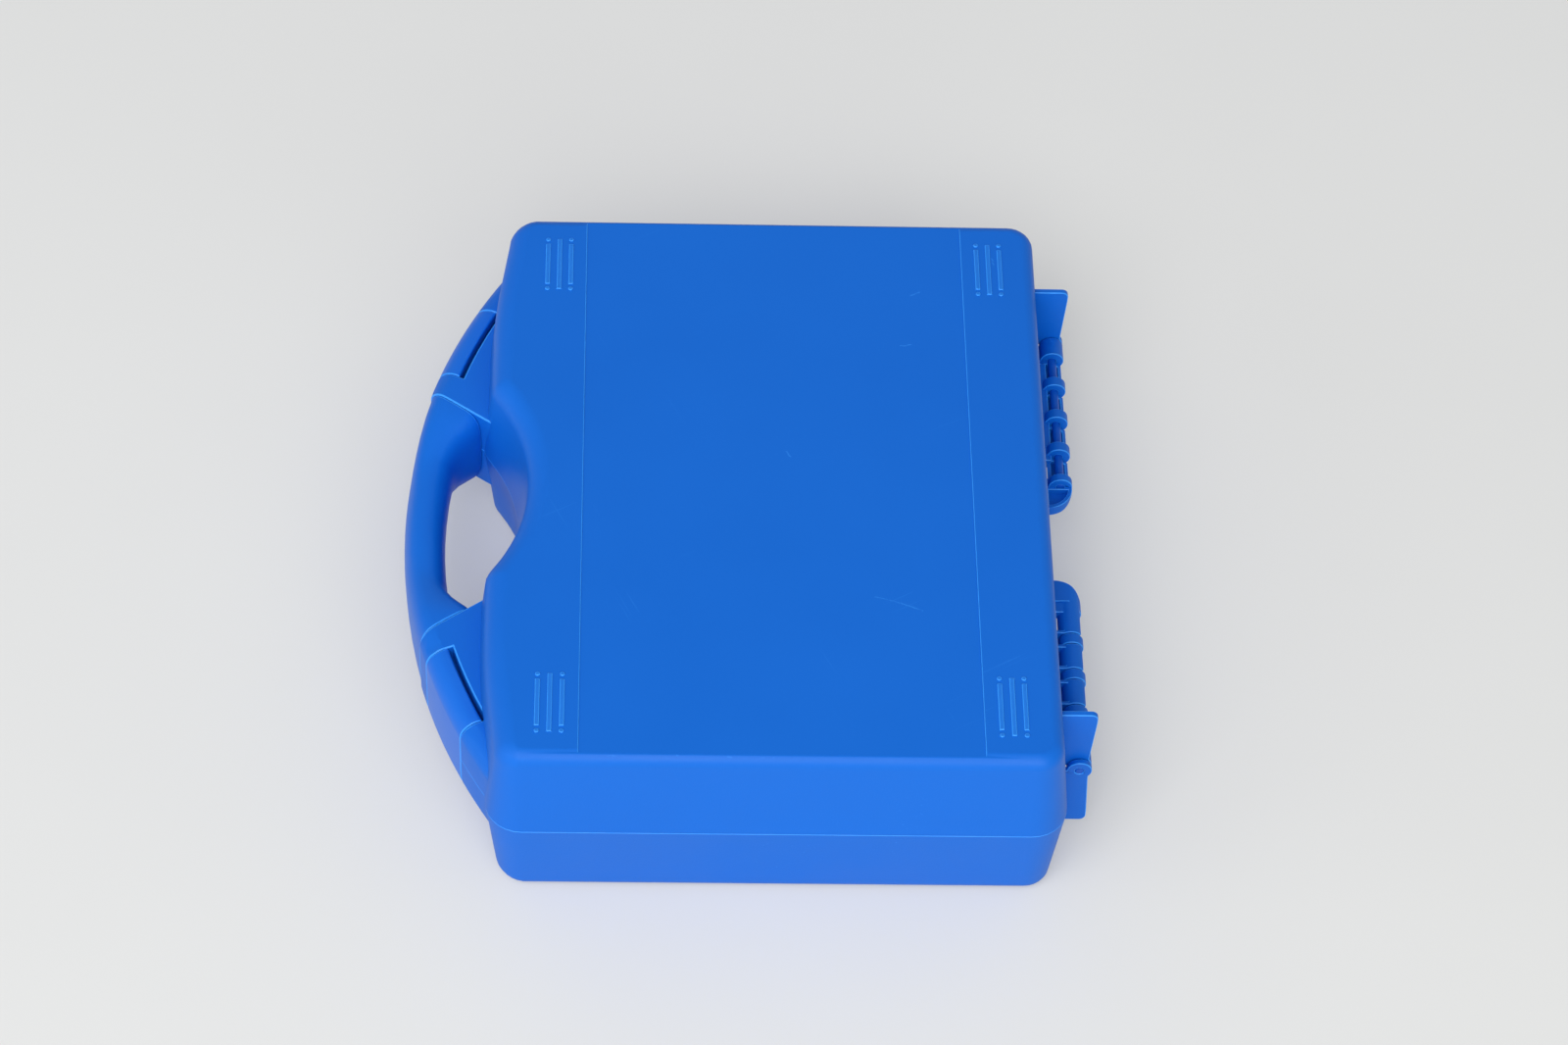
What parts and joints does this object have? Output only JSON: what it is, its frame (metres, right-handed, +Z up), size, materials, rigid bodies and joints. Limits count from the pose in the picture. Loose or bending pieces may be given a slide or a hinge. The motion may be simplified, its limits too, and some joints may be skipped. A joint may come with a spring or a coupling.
{
  "type": "hard tool case",
  "caption": "Hard moulded tool case with a hinged lid, clip latches and a curved carrying grip; opens flat to hold hand tools.",
  "frame": {"origin": "middle of the footprint of the whole case, on the surface that it lies on", "axes": "+X from the grip to the hinges, +Y along the case, +Z up out of the lid"},
  "size_m": [0.3034, 0.321, 0.0954],
  "materials": {
    "case_plastic": "blue polypropylene, satin, lightly scuffed",
    "grip_plastic": "blue polypropylene, satin, smooth from handling",
    "latch_plastic": "blue polypropylene, satin",
    "pin_plastic": "blue polypropylene rod",
    "pin_steel": "plain bright steel"
  },
  "bodies": {
    "base": {"base_shell": "case_plastic", "grip": "grip_plastic", "hinge_pin_front": "pin_plastic", "hinge_pin_rear": "pin_plastic", "latch_pin_front": "pin_steel", "latch_pin_rear": "pin_steel"},
    "lid": {"lid_shell": "case_plastic"},
    "front_latch": {"latch_front": "latch_plastic"},
    "rear_latch": {"latch_rear": "latch_plastic"}
  },
  "joints": [
    {"name": "lid_hinge", "type": "hinge", "parent": "base", "child": "lid", "pos_m": [0.14625, 0, 0.0477], "axis": [0, 1, 0], "range_deg": [0, 180]},
    {"name": "front_latch_pivot", "type": "hinge", "parent": "base", "child": "front_latch", "pos_m": [-0.1238, -0.0991, 0.0287], "axis": [0.3762, -0.9265, 0], "range_deg": [0, 90]},
    {"name": "rear_latch_pivot", "type": "hinge", "parent": "base", "child": "rear_latch", "pos_m": [-0.1238, 0.0991, 0.0287], "axis": [-0.3762, -0.9265, 0], "range_deg": [0, 90]}
  ]
}
